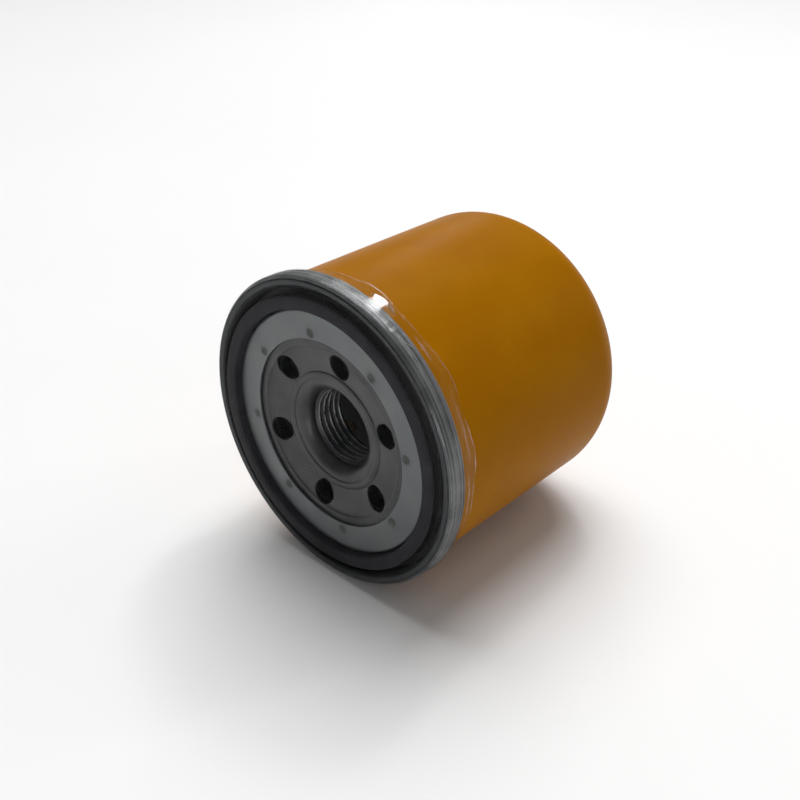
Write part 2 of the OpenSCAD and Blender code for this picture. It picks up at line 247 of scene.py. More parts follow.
# Shader nodes


class Socket:
    """One output of a shader node. Arithmetic on it adds Math nodes."""

    def __init__(self, graph: "Graph", output: bpy.types.NodeSocket) -> None:
        """Keeps the output and the graph that it belongs to."""
        self.graph = graph
        self.output = output

    def other(self, name: str) -> "Socket":
        """Another output of the same node."""
        return Socket(self.graph, self.output.node.outputs[name])

    def math(self, operation: str, *values: "Socket | float") -> "Socket":
        """A Math node on this value and the given ones."""
        return self.graph.add("ShaderNodeMath", {"operation": operation}, dict(enumerate((self, *values))))

    def __add__(self, value: "Socket | float") -> "Socket":
        """Sum."""
        return self.math("ADD", value)

    def __radd__(self, value: float) -> "Socket":
        """Sum, with the number first."""
        return self.math("ADD", value)

    def __sub__(self, value: "Socket | float") -> "Socket":
        """Difference."""
        return self.math("SUBTRACT", value)

    def __rsub__(self, value: float) -> "Socket":
        """Difference, with the number first."""
        return (self * -1.0) + value

    def __mul__(self, value: "Socket | float") -> "Socket":
        """Product."""
        return self.math("MULTIPLY", value)

    def __rmul__(self, value: float) -> "Socket":
        """Product, with the number first."""
        return self.math("MULTIPLY", value)

    def __truediv__(self, value: "Socket | float") -> "Socket":
        """Quotient."""
        return self.math("DIVIDE", value)

    def spread(self, low: float, high: float, start: float = 0.0, end: float = 1.0) -> "Socket":
        """This value eased from low to high onto start to end, and held there outside.

        Args:
            low: Value that gives start.
            high: Value that gives end.
            start: Result at and below low.
            end: Result at and above high.

        Returns:
            The mapped value.
        """
        settings = {"interpolation_type": "SMOOTHSTEP"}
        return self.graph.add("ShaderNodeMapRange", settings, {0: self, 1: low, 2: high, 3: start, 4: end})


class Graph:
    """The node tree of one material."""

    def __init__(self, name: str) -> None:
        """Starts an empty material.

        Args:
            name: Name of the material.
        """
        self.material = bpy.data.materials.new(name)
        self.material.use_nodes = True
        self.tree = self.material.node_tree
        self.tree.nodes.clear()
        self.place = self.add("ShaderNodeTexCoord", output="Object")

    def add(
        self,
        kind: str,
        settings: dict[str, object] | None = None,
        sockets: dict[int | str, object] | None = None,
        output: int | str = 0,
    ) -> Socket:
        """Adds a node.

        Args:
            kind: The node's type.
            settings: Its own settings, which are set first.
            sockets: Values or links of its inputs, by name or number.
            output: The output that is returned.

        Returns:
            The chosen output.
        """
        node = self.tree.nodes.new(kind)
        for key, value in (settings or {}).items():
            setattr(node, key, value)
        for key, value in (sockets or {}).items():
            if isinstance(value, Socket):
                self.tree.links.new(value.output, node.inputs[key])
            else:
                node.inputs[key].default_value = value
        return Socket(self, node.outputs[output] if len(node.outputs) else None)

    def noise(
        self,
        size: float,
        detail: float = 2.0,
        stretch: tuple[float, float, float] = (1, 1, 1),
        at: Socket | None = None,
    ) -> Socket:
        """Noise from 0 to 1.

        Args:
            size: Size of its patches in millimetres.
            detail: Number of finer layers.
            stretch: Share of that size along X, Y and Z.
            at: Coordinates, where they aren't the object's own.

        Returns:
            The noise.
        """
        scale = tuple(1.0 / part for part in stretch)
        place = self.add("ShaderNodeMapping", None, {"Vector": at or self.place, "Scale": scale})
        sockets = {"Vector": place, "Scale": 1 / (size * MM), "Detail": detail}
        return self.add("ShaderNodeTexNoise", None, sockets)

    def mix(self, factor: Socket | float, first: object, second: object) -> Socket:
        """A colour between two colours."""
        return self.add("ShaderNodeMix", {"data_type": "RGBA"}, {0: factor, 6: first, 7: second}, output=2)

    def layer(self, name: str) -> Socket:
        """A value that the mesh carries at its points."""
        return self.add("ShaderNodeAttribute", {"attribute_name": name}, output="Fac")

    def polar(self) -> tuple[Socket, Socket, Socket]:
        """Where a point is about the thread axis.

        Returns:
            Its radius and depth in millimetres, and its clock angle in radians.
        """
        x = self.add("ShaderNodeSeparateXYZ", None, {0: self.place})
        y, z = x.other("Y"), x.other("Z")
        return (x * x + z * z).math("SQRT") / MM, y / MM, z.math("ARCTAN2", x)

    def grain(self, way: Grain, size: float, detail: float = 3.0) -> Socket:
        """Fine lines, from 0 to 1.

        Args:
            way: Which way the lines run.
            size: Their width in millimetres.
            detail: Number of finer layers.

        Returns:
            The lines.
        """
        if way is Grain.TURNED:
            radius, depth, angle = self.polar()
            place = self.add("ShaderNodeCombineXYZ", None, {0: radius * MM, 1: depth * MM, 2: angle * MM})
            return self.noise(size, detail, (1, 1, 6), place)
        return self.noise(size, detail, (30, 1, 1) if way is Grain.ROLLED else (1, 40, 1))

    def bump(self, height: Socket, depth: float, below: Socket | None = None) -> Socket:
        """A Normal from a height of 0 to 1 that stands for depth in millimetres."""
        sockets = {"Height": height, "Distance": depth * MM}
        return self.add("ShaderNodeBump", None, sockets | ({"Normal": below} if below else {}))

    def principled(self, **sockets: object) -> Socket:
        """A Principled shader, whose sockets are named with _ for a space."""
        named = {key.replace("_", " "): value for key, value in sockets.items()}
        return self.add("ShaderNodeBsdfPrincipled", None, named)

    def finish(self, shader: Socket) -> bpy.types.Material:
        """Sends the shader to the output and returns the material."""
        self.add("ShaderNodeOutputMaterial", None, {"Surface": shader})
        return self.material

    def surface(self, **sockets: object) -> bpy.types.Material:
        """Finishes the material with one Principled shader."""
        return self.finish(self.principled(**sockets))


# Finishes


def grey(level: float, red: float = 0.0, blue: float = 0.0) -> Colour:
    """A grey, shifted a little to red or blue."""
    return (level * (1 + red), level, level * (1 + blue), 1)


def shade(colour: Colour, share: float) -> Colour:
    """A colour darkened to a share of itself."""
    return tuple(part * share for part in colour[:3]) + (1,)


@dataclass(frozen=True)
class Paint:
    """Gloss paint on a drawn steel can."""

    name: str = "ochre_gloss_paint"
    colour: Colour = (0.360, 0.138, 0.0006, 1)
    deep: Colour = (0.335, 0.124, 0.0004, 1)
    scuff: Colour = (0.40, 0.19, 0.01, 1)
    gloss: Colour = (1.0, 0.55, 0.04, 1)
    level: float = 0.03

    def material(self) -> bpy.types.Material:
        """Builds the material: clouds, orange peel, draw lines and faint scuffs.

        Returns:
            The material.
        """
        graph = Graph(self.name)
        clouds = graph.noise(14, 3)
        lines = graph.grain(Grain.DRAWN, 0.9)
        specks = graph.noise(0.35, 2).spread(0.66, 0.72)
        scuffs = graph.noise(2.2, 6, (1, 5, 1)).spread(0.66, 0.8)
        base = graph.mix(clouds.spread(0.35, 0.7), self.deep, self.colour)
        base = graph.mix(scuffs * 0.25, base, self.scuff)
        peel = graph.bump(graph.noise(0.8, 2), 0.006)
        normal = graph.bump(lines, 0.004, peel)
        rough = 0.34 + clouds * 0.08 + scuffs * 0.15 + specks * 0.05
        shine = {"Specular_IOR_Level": self.level, "Specular_Tint": self.gloss}
        return graph.surface(Base_Color=base, Roughness=rough, Normal=normal, **shine)


@dataclass(frozen=True)
class Metal:
    """Bare or plated sheet metal or wire."""

    name: str
    colour: Colour
    tint: Colour
    rough: float
    metallic: float = 0.85
    way: Grain = Grain.ROLLED
    grain_size: float = 0.35
    grain_depth: float = 0.004

    def shaded(self, graph: Graph) -> tuple[Socket, Socket, Socket]:
        """The plain metal, before any marks.

        Args:
            graph: The material's nodes.

        Returns:
            Its base colour, roughness and normal.
        """
        clouds = graph.noise(7, 4)
        grain = graph.grain(self.way, self.grain_size)
        specks = graph.noise(0.5, 3).spread(0.62, 0.75)
        base = graph.mix(clouds.spread(0.3, 0.7), self.colour, self.tint)
        base = graph.mix(specks * 0.35, base, shade(self.colour, 0.55))
        rough = self.rough + (grain - 0.5) * 0.22 + specks * 0.1
        return base, rough, graph.bump(grain, self.grain_depth)

    def material(self) -> bpy.types.Material:
        """Builds the material.

        Returns:
            The material.
        """
        graph = Graph(self.name)
        base, rough, normal = self.shaded(graph)
        return graph.surface(Base_Color=base, Roughness=rough, Metallic=self.metallic, Normal=normal)


@dataclass(frozen=True)
class WeldedZinc(Metal):
    """Zinc-plated lid: weld heat marks, a darker seam, painted shade in its gasket channel and at its crest
    line, and a bright rim.
    """

    ring: float = 24.77
    count: int = 8
    phase: float = 9.5
    mark: float = 1.3
    seam_r: float = 35.0
    channel_r: float = 30.0
    line_r: float = 37.05
    fresh: Colour = (0.24, 0.245, 0.25, 1)
    burnt: Colour = (0.035, 0.04, 0.018, 1)
    rolled: Colour = (0.02, 0.021, 0.024, 1)
    shadow: Colour = (0.003, 0.003, 0.004, 1)

    def shaded(self, graph: Graph) -> tuple[Socket, Socket, Socket]:
        """The plated sheet with weld heat marks, a darker seam, painted shade in the channel and at the crest
        line, and a bright rim.

        Args:
            graph: The material's nodes.

        Returns:
            Its base colour, roughness and normal.
        """
        base, rough, normal = super().shaded(graph)
        radius, depth, angle = graph.polar()
        step = math.tau / self.count
        turned = (angle - math.radians(self.phase)) / step + 0.5
        wrapped = (turned.math("FRACT") - 0.5) * step
        out = radius * wrapped.math("COSINE") - self.ring
        along = radius * wrapped.math("SINE")
        apart = (out * out + along * along).math("SQRT") + (graph.noise(0.5, 3) - 0.5) * 0.7
        burn = apart.spread(self.mark * 0.55, self.mark * 1.25, 0.55, 0.0)
        halo = apart.spread(self.mark, self.mark * 2.6, 0.3, 0.0)
        base = graph.mix(halo, base, shade(self.tint, 0.8))
        base = graph.mix(burn, base, self.burnt)
        # Darker from the seam outward, over the rolled rim.
        seam = radius.spread(self.seam_r - 0.1, self.seam_r + 0.7, 0.0, 0.72)
        base = graph.mix(seam, base, self.rolled)
        # Painted shade: the gasket channel's floor and walls are mixed almost to black.
        inside = radius.spread(self.seam_r + 0.7, self.seam_r + 1.1, 1.0, 0.0)
        channel = radius.spread(self.channel_r, self.channel_r + 0.5, 0.0, 0.97) * inside
        base = graph.mix(channel * depth.spread(0.75, 1.0), base, self.shadow)
        streaks = graph.grain(Grain.TURNED, 0.5, 2).spread(0.42, 0.56, 0.0, 0.55)
        dulled = graph.noise(6, 3).spread(0.3, 0.7, 0.0, 0.4) + streaks
        base = graph.mix(radius.spread(self.line_r, self.line_r + 0.4) * (1.0 - dulled), base, self.fresh)
        # Painted shade: a thin dark line round the rim's crest, in the shadow colour.
        mark = (radius - self.line_r).math("ABSOLUTE").spread(0.08, 0.26, 0.85, 0.0)
        base = graph.mix(mark * depth.spread(1.6, 2.0, 1.0, 0.0), base, self.shadow)
        return base, rough + burn * 0.2 + seam * 0.3, normal


@dataclass(frozen=True)
class TappedPlate(Metal):
    """Plate steel with painted shade inside its holes and bore, and thread crests lightened partly by wear
    and partly as a painted highlight.
    """

    dish: float = 21.3
    crease: float = 14.7
    front: float = 2.4
    sink: float = 1.42
    crest: float = 8.75
    hole_shade: Colour = (0.006, 0.006, 0.007, 1)
    crest_wear_and_highlight: Colour = (0.55, 0.56, 0.60, 1)

    def shaded(self, graph: Graph) -> tuple[Socket, Socket, Socket]:
        """The turned plate with painted shade down its holes and bore, and thread crests lightened partly by
        wear and partly as a painted highlight.

        Args:
            graph: The material's nodes.

        Returns:
            Its base colour, roughness and normal.
        """
        base, rough, normal = super().shaded(graph)
        radius, depth, _ = graph.polar()
        fall = (self.dish - radius) * (self.sink / (self.dish - self.crease))
        below = depth - self.front - fall.math("MINIMUM", self.sink).math("MAXIMUM", 0.0)
        outside = radius.spread(self.crease - 1.0, self.crease)
        # Painted shade: the plate is darkened down its inlet holes and down its bore.
        punched = below.spread(0.1, 0.7, 0.0, 0.95) * outside
        bored = below.spread(2.4, 6.5, 0.0, 0.8) * (1.0 - outside)
        # Thread crests lightened: partly wear, partly a painted highlight of their light arcs.
        rubbed = graph.noise(2.5, 3).spread(0.3, 0.6)
        burnish_and_highlight = radius.spread(self.crest + 0.02, self.crest + 0.16, 1.0, 0.0) * rubbed
        base = graph.mix(punched + bored, base, self.hole_shade)
        base = graph.mix(burnish_and_highlight * 0.8, base, self.crest_wear_and_highlight)
        return base, rough - burnish_and_highlight * 0.12, normal


@dataclass(frozen=True)
class Rubber:
    """Moulded rubber with a bloom of dust, and painted shade on its outer wall beyond a given radius."""

    name: str
    colour: Colour
    dust: Colour
    dusty: float = 0.3
    rough: float = 0.5
    sheen: float = 0.22
    wall_shade_r: float = 60.0
    shadow: Colour = (0.001, 0.001, 0.0015, 1)

    def material(self) -> bpy.types.Material:
        """Builds the material: mould grain, a bloom of dust and painted shade on the outer wall.

        Returns:
            The material.
        """
        graph = Graph(self.name)
        clouds = graph.noise(5, 5)
        fine = graph.noise(0.25, 3)
        dust = (clouds * 0.85 + fine * 0.15).spread(0.42, 0.68, 0.0, self.dusty)
        base = graph.mix(dust, self.colour, self.dust)
        radius, depth, _ = graph.polar()
        # Painted shade: the outer wall is mixed almost to black.
        wall = radius.spread(self.wall_shade_r - 0.25, self.wall_shade_r) * depth.spread(0.2, 0.7)
        base = graph.mix(wall, base, self.shadow)
        rough = self.rough + dust * 0.4
        normal = graph.bump(fine, 0.003)
        shine = {"Specular_IOR_Level": self.sheen}
        return graph.surface(Base_Color=base, Roughness=rough, Normal=normal, **shine)


@dataclass(frozen=True)
class Paper:
    """Resin-cured filter paper."""

    name: str = "filter_paper"
    colour: Colour = (0.62, 0.45, 0.22, 1)
    fibre: Colour = (0.45, 0.29, 0.11, 1)

    def material(self) -> bpy.types.Material:
        """Builds the material: fibres, cured resin clouds and fine rolled grooves.

        Returns:
            The material.
        """
        graph = Graph(self.name)
        fibres = graph.noise(0.18, 5, (1, 3, 1))
        clouds = graph.noise(4, 3)
        depth = graph.polar()[1]
        grooves = (depth * (math.tau / 1.6)).math("SINE") * 0.5 + 0.5
        base = graph.mix(fibres.spread(0.45, 0.7) * 0.6 + clouds * 0.3, self.colour, self.fibre)
        normal = graph.bump(grooves, 0.06, graph.bump(fibres, 0.02))
        return graph.surface(Base_Color=base, Roughness=0.75 + fibres * 0.2, Normal=normal)


@dataclass(frozen=True)
class Moulding:
    """Moulded plastic, cured adhesive or sealing compound."""

    name: str
    colour: Colour
    deep: Colour
    rough: float = 0.4
    cell: float = 0.6

    def material(self) -> bpy.types.Material:
        """Builds the material: flow clouds and a fine skin.

        Returns:
            The material.
        """
        graph = Graph(self.name)
        clouds = graph.noise(3, 4)
        skin = graph.noise(self.cell, 3)
        base = graph.mix(clouds.spread(0.35, 0.7), self.colour, self.deep)
        rough = self.rough + (skin - 0.5) * 0.25
        return graph.surface(Base_Color=base, Roughness=rough, Normal=graph.bump(skin, 0.02))


@dataclass(frozen=True)
class ClearFilm:
    """Thin shrunk film: clear from the front, brighter at a glance, in creases and over air pockets."""

    name: str = "shrink_film"
    clear: float = 0.07
    rim: float = 0.15
    glance: float = 0.16
    taut: float = 0.1
    lined: float = 0.8
    pocket: float = 0.25
    haze: float = 0.0012
    crease: float = 0.02
    cut: float = 0.2
    glint: Colour = (0.92, 0.94, 0.97, 1)
    tint: Colour = (0.985, 0.985, 0.98, 1)
    face_r: float = 33.0
    hem: float = 51.0

    def material(self) -> bpy.types.Material:
        """Builds the material: a clear film that mirrors by its angle, hazier where it is creased.

        Returns:
            The material.
        """
        graph = Graph(self.name)
        drum = graph.polar()[0].spread(self.face_r, self.face_r + 2.5)
        clouds = graph.noise(9, 4).spread(0.35, 0.75)
        run = graph.layer("run")
        edge = run.spread(self.hem - 0.3, self.hem - 0.08) * graph.noise(5, 2).spread(0.4, 0.6)
        fine = graph.noise(0.7, 4, (1, 2, 1))
        streaks = graph.grain(Grain.TURNED, 0.45, 3)
        crease = fine.spread(0.6, 0.78) * drum
        normal = graph.bump((fine * 0.15 + streaks * 1.7) * drum + clouds * 0.3, 0.07)
        on_rim = run.spread(36.6, 38.0) * run.spread(40.4, 41.2, 1.0, 0.0)
        facing = graph.add("ShaderNodeLayerWeight", None, {"Blend": 0.5, "Normal": normal}, "Facing")
        mirror = facing.math("POWER", 5.0) * self.glance + 0.04
        lines = streaks.spread(0.5, 0.62) * fine.spread(0.42, 0.6)
        share = mirror * (self.clear + drum * self.rim + on_rim * (lines * self.lined + self.taut))
        share = share + clouds * self.haze + crease * self.crease + edge * self.cut
        share = share + graph.layer("pocket") * self.pocket
        rough = 0.05 + crease * 0.2
        glint = graph.principled(Base_Color=self.glint, Metallic=1.0, Roughness=rough, Normal=normal)
        clear = graph.add("ShaderNodeBsdfTransparent", None, {"Color": self.tint})
        return graph.finish(graph.add("ShaderNodeMixShader", None, {0: share, 1: clear, 2: glint}))


ZINC = WeldedZinc("zinc_sheet", grey(0.18, -0.05, 0.01), grey(0.155, -0.06, 0.08), 0.42)
PLATE_STEEL = TappedPlate(
    "plate_steel", grey(0.080, 0.01, 0.03), grey(0.060, 0.0, 0.07), 0.38, way=Grain.TURNED
)
TINNED = Metal("tinned_sheet", grey(0.55), grey(0.45, 0.02, -0.05), 0.33)
TUBE_STEEL = Metal("tube_steel", grey(0.45, 0.0, 0.03), grey(0.36, 0.0, -0.04), 0.36, way=Grain.DRAWN)
CLIP_STEEL = Metal("clip_steel", grey(0.6), grey(0.5, 0.0, 0.05), 0.3, way=Grain.DRAWN)
SPRING_WIRE = Metal("spring_steel", grey(0.32, 0.03, -0.02), grey(0.22, 0.05, -0.06), 0.3, grain_size=0.15)
GASKET_RUBBER = Rubber(
    "gasket_rubber", grey(0.021, 0.05, 0.2), grey(0.052, 0.02, 0.15), 0.35, 0.42, sheen=0.06, wall_shade_r=33.35
)
VALVE_RUBBER = Rubber("valve_rubber", grey(0.014), grey(0.04, 0.1, -0.1), 0.2, 0.45)
GLUE = Moulding("adhesive", (0.52, 0.42, 0.22, 1), (0.42, 0.32, 0.15, 1), 0.35, 1.2)
COMPOUND = Moulding("compound", (0.05, 0.07, 0.05, 1), (0.03, 0.045, 0.035, 1), 0.55)
POPPET_PLASTIC = Moulding("poppet_plastic", grey(0.03), grey(0.045, 0, 0.05), 0.4)


def dress(made: bpy.types.Object, finish: bpy.types.Material) -> None:
    """Gives a piece its finish.

    Args:
        made: The piece.
        finish: Its material.
    """
    made.data.materials.clear()
    made.data.materials.append(finish)


# Sub-assemblies


@dataclass
class Casing:
    """The can, the seaming lid, the base plate and the gasket."""

    steps: int = 320
    can_wall: float = 0.4
    can_corner: float = 10.0
    lid_wall: float = 0.65
    seam_gap: float = 0.05
    channel_bend: float = 0.4
    land_bend: float = 0.9
    lid_depth: float = 1.75
    lid_land: float = 7.05
    channel_wall: float = 35.05
    gasket_width: float = 3.25
    gasket_edge: float = 0.5
    gasket_fit: float = 0.03
    weld_count: int = 8
    weld_inset: float = 1.6
    weld_phase: float = 9.5
    weld_r: float = 1.05
    weld_dent: float = 0.15
    plate_wall: float = 3.0
    plate_edge: float = 0.4
    major_r: float = 9.525
    crest_r: float = 8.75
    pitch: float = 1.5875
    thread_start: float = 6.85
    mouth_r: float = 12.9
    bead: float = 1.8
    bead_height: float = 0.3
    dish_r: float = 21.32
    dish_sink: float = 1.42
    step_width: float = 0.4
    step_height: float = 0.3
    neck_r: float = 12.0
    hole_count: int = 6
    hole_r: float = 2.9
    hole_phase: float = 19.7
    hole_roll: float = 0.3
    punch_above: float = 2.0
    punch_below: float = 6.0

    def channel_r(self) -> float:
        """Radius of the gasket channel's inner wall."""
        return ring_of("gasket")[0] - self.gasket_width - self.gasket_fit

    def weld_ring(self) -> float:
        """Radius of the ring of spot welds."""
        return self.channel_r() - self.lid_land + self.weld_inset

    def can(self) -> bpy.types.Object:
        """The deep-drawn can, from its hook in the seam round to its closed end.

        Returns:
            The piece, in place of its CAD node.
        """
        hook_r, _, back = ring_of("can")
        lid_r, crest, lid_back = ring_of("seaming_lid")
        wall_r = hook_r - self.can_wall - self.lid_wall - 2 * self.seam_gap
        fold_in = (hook_r - self.can_wall - wall_r) / 2
        fold = (wall_r + fold_in, crest + (lid_r - self.channel_wall) / 2)
        curl = (lid_r - 2 * self.lid_wall - self.seam_gap - wall_r) / 2
        curl_depth = lid_back - self.lid_wall - curl
        inner = wall_r - self.can_wall
        corner = (wall_r - self.can_corner, back - self.can_corner)
        inside = back - self.can_wall
        section = [(0.0, inside)]
        section += line((corner[0] * 0.5, inside), (corner[0] * 0.9, inside), 3)
        section += arc(corner, self.can_corner - self.can_wall, 90, 0, 14)
        section += line((inner, corner[1] - 2), (inner, fold[1] + 1), 12)
        section += arc(fold, fold_in + self.can_wall, 180, 360, 8)
        section += [(hook_r, curl_depth), (hook_r - self.can_wall, curl_depth)]
        section += arc(fold, fold_in, 360, 180, 8)
        section += line((wall_r, fold[1] + 1), (wall_r, corner[1] - 2), 24)
        section += arc(corner, self.can_corner, 0, 90, 20)
        section += line((corner[0] * 0.9, back), (0.0, back), 8)
        bm = spun(section, self.steps, closed=False)
        for vert in bm.verts:
            radius, depth, _ = polar(vert.co)
            sway = noise.noise(vert.co * 28) * 0.05 * smoothstep(12, 30, depth) * smoothstep(5, 20, radius)
            vert.co += Vector((vert.co.x, 0, vert.co.z)).normalized() * sway * MM
        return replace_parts(piece("can", bm), "can")

    def lid(self) -> bpy.types.Object:
        """The seaming lid: flat ring, gasket channel and rolled rim, with its spot welds.

        Returns:
            The piece, in place of its CAD node.
        """
        rim_r, crest, back = ring_of("seaming_lid")
        floor = ring_of("gasket")[2] + self.gasket_fit
        channel_r = self.channel_r()
        hole_r = channel_r - self.lid_land
        fold_out = (rim_r - self.channel_wall) / 2
        fold = (rim_r - fold_out, crest + fold_out)
        hook_r = ring_of("can")[0] - self.can_wall - self.seam_gap
        curl_in = (rim_r - self.lid_wall - hook_r) / 2
        curl = (hook_r + curl_in, back - curl_in - self.lid_wall)
        tip = self.lid_wall / 2
        hook_tip = (hook_r - tip, fold[1] + 0.3)
        weld_r = self.weld_ring()
        land = (channel_r - self.land_bend, self.lid_depth + self.land_bend)
        inner = (channel_r + self.channel_bend, floor - self.channel_bend)
        outer = (self.channel_wall - self.channel_bend, floor - self.channel_bend)
        edge = self.lid_wall * 0.3
        section = arc((hole_r + edge, self.lid_depth + edge), edge, 180, 270, 3)
        section += line((hole_r + edge, self.lid_depth), (weld_r + 1.8, self.lid_depth), 14)[1:]
        section += line((weld_r + 1.8, self.lid_depth), (land[0], self.lid_depth), 5)[1:-1]
        section += arc(land, self.land_bend, -90, 0)
        section += arc(inner, self.channel_bend, 180, 90, 4)
        section += arc(outer, self.channel_bend, 90, 0, 4)
        section += arc(fold, fold_out, 180, 360, 18)
        section += arc(curl, curl_in + self.lid_wall, 0, 180, 14)
        section += arc(hook_tip, tip, 180, 360, 4)
        section += arc(curl, curl_in, 180, 0, 6)
        section += arc(fold, fold_out - self.lid_wall, 360, 180, 12)
        section += arc(outer, self.channel_bend + self.lid_wall, 0, 90, 4)
        section += arc(inner, self.channel_bend + self.lid_wall, 90, 180, 4)
        section += arc(land, self.land_bend - self.lid_wall, 0, -90, 4)
        section += arc((hole_r + edge, self.lid_depth + self.lid_wall - edge), edge, 90, 180, 3)
        bm = spun(section, 480)
        angles = [self.weld_phase + i * 360 / self.weld_count for i in range(self.weld_count)]
        welds = [clock(weld_r, self.lid_depth, angle) for angle in angles]
        for vert in bm.verts:
            if abs(vert.co.y / MM - self.lid_depth) > 0.05:
                continue
            apart = min((vert.co - weld).length for weld in welds) / MM
            dent = self.weld_dent * (1 - smoothstep(self.weld_r * 0.55, self.weld_r * 1.1, apart))
            lift = 0.05 * math.exp(-(((apart - self.weld_r * 1.35) / 0.3) ** 2))
            vert.co.y += (dent - lift) * MM
        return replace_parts(piece("seaming_lid", bm), "seaming_lid")

    def plate_section(self) -> Section:
        """Section of the base plate, with its bore at the thread's major radius.

        Returns:
            The section, as one closed loop.
        """
        plate_r, front, back = ring_of("base_plate")
        crease_r = self.mouth_r + self.bead
        deep = front + self.dish_sink
        bead_mid = self.mouth_r + self.bead / 2
        entry_w, entry_h = self.mouth_r - self.major_r, self.thread_start - deep
        entry = [
            (self.mouth_r - entry_w * math.sin(a), self.thread_start - entry_h * math.cos(a))
            for a in (math.radians(90 * i / 14) for i in range(15))
        ]
        bead = [
            (bead_mid + self.bead / 2 * math.cos(a), deep - self.bead_height * math.sin(a))
            for a in (math.radians(18 * i) for i in range(1, 10))
        ]
        edge = self.plate_edge
        step = (self.dish_r - self.step_width, front + self.step_height)
        return (
            arc((plate_r - edge, front + edge), edge, 0, -90, 4)
            + line((plate_r - edge, front), (self.dish_r + 0.25, front), 5)[1:]
            + arc((self.dish_r + 0.1, front + 0.2), 0.2, -90, -150, 3)
            + line(step, (crease_r + 0.15, deep - 0.02), 12)
            + [(crease_r, deep)]
            + bead
            + entry
            + line((self.major_r, self.thread_start), (self.major_r, back - 0.4), 6)[1:]
            + [(self.major_r + 0.4, back)]
            + arc((self.neck_r - 0.5, back - 0.5), 0.5, 90, 0, 4)
            + [(self.neck_r, deep + self.plate_wall + 1.4)]
            + arc((self.neck_r + 1.2, deep + self.plate_wall + 1.2), 1.2, 180, 270, 6)
            + [(crease_r, deep + self.plate_wall), (step[0], step[1] + self.plate_wall)]
            + [(self.dish_r, front + self.plate_wall)]
            + arc((plate_r - edge, front + self.plate_wall - edge), edge, 90, 0, 4)
        )

    def hole_cutter(self, angle: float) -> bpy.types.Object:
        """A punch that leaves one inlet hole with a rolled front edge.

        Args:
            angle: Clock angle of the hole in degrees.

        Returns:
            The punch, square to the dish.
        """
        _, front, _ = ring_of("base_plate")
        crease_r = self.mouth_r + self.bead
        slope = math.atan2(self.dish_sink - self.step_height, self.dish_r - self.step_width - crease_r)
        ring_r = (self.dish_r + crease_r) / 2
        depth = front + self.dish_sink * (self.dish_r - ring_r) / (self.dish_r - crease_r)
        roll = self.hole_roll
        section = [(0.0, -self.punch_above), (self.hole_r + roll, -self.punch_above)]
        section += [
            (self.hole_r + roll - roll * math.sin(a), roll - roll * math.cos(a))
            for a in (math.radians(15 * i) for i in range(7))
        ]
        section += [(self.hole_r, self.punch_below), (0.0, self.punch_below)]
        bm = spun(section, 48, closed=False)
        bm.transform(Matrix.Rotation(slope, 4, "Z"))
        bm.transform(Matrix.Translation((ring_r * MM, depth * MM, 0)))
        bm.transform(Matrix.Rotation(-math.radians(angle), 4, "Y"))
        return piece("hole_punch", bm)

    def thread(self) -> bmesh.types.BMesh:
        """The ridge of the internal thread, tapered where it runs out at both ends.

        Returns:
            The ridge, with its root sunk a little into the bore's wall.
        """
        _, _, back = ring_of("base_plate")
        root = self.major_r + 0.06
        turns = (back - self.thread_start - 0.8) / self.pitch
        per_turn = 72
        steps = round(turns * per_turn)
        start = self.thread_start + 0.1
        flank = self.pitch * 0.47
        crest = self.pitch * 0.07
        bm = bmesh.new()
        outline = [(root, -flank), (self.crest_r, -crest), (self.crest_r, crest), (root, flank)]
        verts = [bm.verts.new((r * MM, (start + y) * MM, 0)) for r, y in outline]
        edges = [bm.edges.new(pair) for pair in zip(verts, verts[1:] + verts[:1])]
        bm.faces.new(verts)
        rise = (0.0, self.pitch * MM / per_turn, 0.0)
        spin = bmesh.ops.spin(
            bm, geom=verts + edges, cent=CENTRE, axis=AXIS, dvec=rise, angle=math.tau * turns, steps=steps
        )
        last = [v for v in spin["geom_last"] if isinstance(v, bmesh.types.BMVert)]
        bmesh.ops.contextual_create(bm, geom=last)
        low, high = start + 0.35 * self.pitch, start + (turns - 0.35) * self.pitch
        for vert in bm.verts:
            radius, depth, _ = polar(vert.co)
            whole = smoothstep(start - flank, low, depth)
            whole *= 1 - smoothstep(high, high + 0.7 * self.pitch, depth)
            wanted = root + (radius - root) * whole
            vert.co.x *= wanted / radius
            vert.co.z *= wanted / radius
        bmesh.ops.recalc_face_normals(bm, faces=bm.faces[:])
        return bm

    def plate(self) -> bpy.types.Object:
        """The base plate: dish, bead, tapped neck and inlet holes.

        Returns:
            The piece, in place of its CAD node.
        """
        made = piece("base_plate", spun(self.plate_section(), 288))
        angles = [self.hole_phase + i * 360 / self.hole_count for i in range(self.hole_count)]
        punches = [self.hole_cutter(angle) for angle in angles]
        for punch in punches:
            cut = made.modifiers.new("punch", "BOOLEAN")
            cut.operation = "DIFFERENCE"
            cut.solver = "EXACT"
            cut.object = punch
        bpy.context.view_layer.update()
        done = bpy.data.meshes.new_from_object(made.evaluated_get(bpy.context.evaluated_depsgraph_get()))
        made.modifiers.clear()
        for punch in punches:
            bpy.data.objects.remove(punch)
        bm = bmesh.new()
        bm.from_mesh(done)
        ridge = self.thread()
        ridge_mesh = bpy.data.meshes.new("thread")
        ridge.to_mesh(ridge_mesh)
        ridge.free()
        bm.from_mesh(ridge_mesh)
        bpy.data.objects.remove(made)
        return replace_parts(piece("base_plate_tapped", bm, 30), "base_plate")

